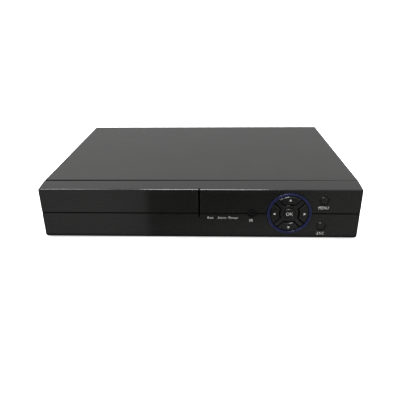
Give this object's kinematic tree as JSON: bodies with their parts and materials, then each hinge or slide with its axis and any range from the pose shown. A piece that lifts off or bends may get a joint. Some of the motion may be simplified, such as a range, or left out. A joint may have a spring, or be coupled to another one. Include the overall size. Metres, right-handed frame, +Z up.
{
  "type": "dvr recorder",
  "caption": "Black desktop video recorder: steel cover, glossy front panel with arrow keys in a blue ring, rear camera and network sockets, drive, board and fan inside.",
  "frame": {"origin": "centre of the footprint, on the plane the rubber feet stand on", "axes": "+X to the right seen from the front, +Y to the rear, +Z up; the keys face -Y"},
  "size_m": [0.3, 0.2318, 0.0514],
  "materials": {
    "painted_steel": "black powder coat, fine texture",
    "black_abs": "glossy black moulded ABS",
    "ring_blue": "dark blue glossy trim",
    "dark_window": "infrared-passing dark plastic",
    "clear_plastic": "clear moulded light pipe",
    "circuit_board": "green solder mask on fibreglass",
    "switch_plastic": "black nylon",
    "chip_plastic": "moulded black epoxy or nylon",
    "anodised_aluminium": "black anodised extrusion",
    "drive_casting": "cast and painted aluminium",
    "screw_steel": "zinc plated",
    "nickel_plate": "nickel plated",
    "shield_steel": "tin plated sheet",
    "port_blue": "moulded blue insulator",
    "inlet_plastic": "moulded black",
    "fan_plastic": "moulded black",
    "foot_rubber": "soft black rubber",
    "cable_red": "red PVC jacket",
    "cable_black": "black PVC jacket",
    "ribbon_white": "pale flat cable"
  },
  "bodies": {
    "case": {"audio_jack": "nickel_plate", "camera_jack_1": "nickel_plate", "camera_jack_2": "nickel_plate", "camera_jack_3": "nickel_plate", "camera_jack_4": "nickel_plate", "cell_holder": "chip_plastic", "chassis_tray": "painted_steel", "coin_cell": "screw_steel", "down_switch": "switch_plastic", "dpad_frame": "black_abs", "dpad_ring": "ring_blue", "drive_board": "circuit_board", "drive_power_cable": "cable_black", "drive_screw_1": "screw_steel", "drive_screw_2": "screw_steel", "drive_screw_3": "screw_steel", "drive_screw_4": "screw_steel", "esc_switch": "switch_plastic", "fan_frame": "fan_plastic", "fan_lead": "cable_black", "foot_1": "foot_rubber", "foot_2": "foot_rubber", "foot_3": "foot_rubber", "foot_4": "foot_rubber", "front_panel": "black_abs", "hard_drive": "drive_casting", "hdmi_port": "shield_steel", "heatsink": "anodised_aluminium", "ir_receiver": "dark_window", "ir_window": "dark_window", "keypad_board": "circuit_board", "keypad_ribbon": "ribbon_white", "lan_port": "shield_steel", "left_switch": "switch_plastic", "light_pipe": "clear_plastic", "main_board": "circuit_board", "memory_chip_1": "chip_plastic", "memory_chip_2": "chip_plastic", "menu_switch": "switch_plastic", "ok_switch": "switch_plastic", "power_inlet": "inlet_plastic", "processor": "chip_plastic", "right_switch": "switch_plastic", "sata_cable": "cable_red", "up_switch": "switch_plastic", "usb_port": "shield_steel", "vga_port": "port_blue"},
    "cover": {"top_cover": "painted_steel", "cover_screw_1": "screw_steel", "cover_screw_2": "screw_steel", "cover_screw_3": "screw_steel", "cover_screw_4": "screw_steel"},
    "up_key": {"up_key": "black_abs"},
    "down_key": {"down_key": "black_abs"},
    "left_key": {"left_key": "black_abs"},
    "right_key": {"right_key": "black_abs"},
    "ok_key": {"ok_key": "black_abs"},
    "menu_key": {"menu_key": "black_abs"},
    "esc_key": {"esc_key": "black_abs"},
    "rotor": {"fan_rotor": "fan_plastic"}
  },
  "joints": [
    {"name": "cover_slide", "type": "slide", "parent": "case", "child": "cover", "axis": [0, 1, 0], "range_m": [0, 0.2]},
    {"name": "up_press", "type": "slide", "parent": "case", "child": "up_key", "axis": [0, 1, 0], "range_m": [0, 0.0005], "stiffness_N_per_m": 400, "springref_m": -0.0005},
    {"name": "down_press", "type": "slide", "parent": "case", "child": "down_key", "axis": [0, 1, 0], "range_m": [0, 0.0005], "stiffness_N_per_m": 400, "springref_m": -0.0005},
    {"name": "left_press", "type": "slide", "parent": "case", "child": "left_key", "axis": [0, 1, 0], "range_m": [0, 0.0005], "stiffness_N_per_m": 400, "springref_m": -0.0005},
    {"name": "right_press", "type": "slide", "parent": "case", "child": "right_key", "axis": [0, 1, 0], "range_m": [0, 0.0005], "stiffness_N_per_m": 400, "springref_m": -0.0005},
    {"name": "ok_press", "type": "slide", "parent": "case", "child": "ok_key", "axis": [0, 1, 0], "range_m": [0, 0.0005], "stiffness_N_per_m": 400, "springref_m": -0.0005},
    {"name": "menu_press", "type": "slide", "parent": "case", "child": "menu_key", "axis": [0, 1, 0], "range_m": [0, 0.0005], "stiffness_N_per_m": 400, "springref_m": -0.0005},
    {"name": "esc_press", "type": "slide", "parent": "case", "child": "esc_key", "axis": [0, 1, 0], "range_m": [0, 0.0005], "stiffness_N_per_m": 400, "springref_m": -0.0005},
    {"name": "fan_spin", "type": "hinge", "parent": "case", "child": "rotor", "pos_m": [-0.09, 0.0972, 0.0243], "axis": [0, 1, 0], "continuous": true}
  ]
}
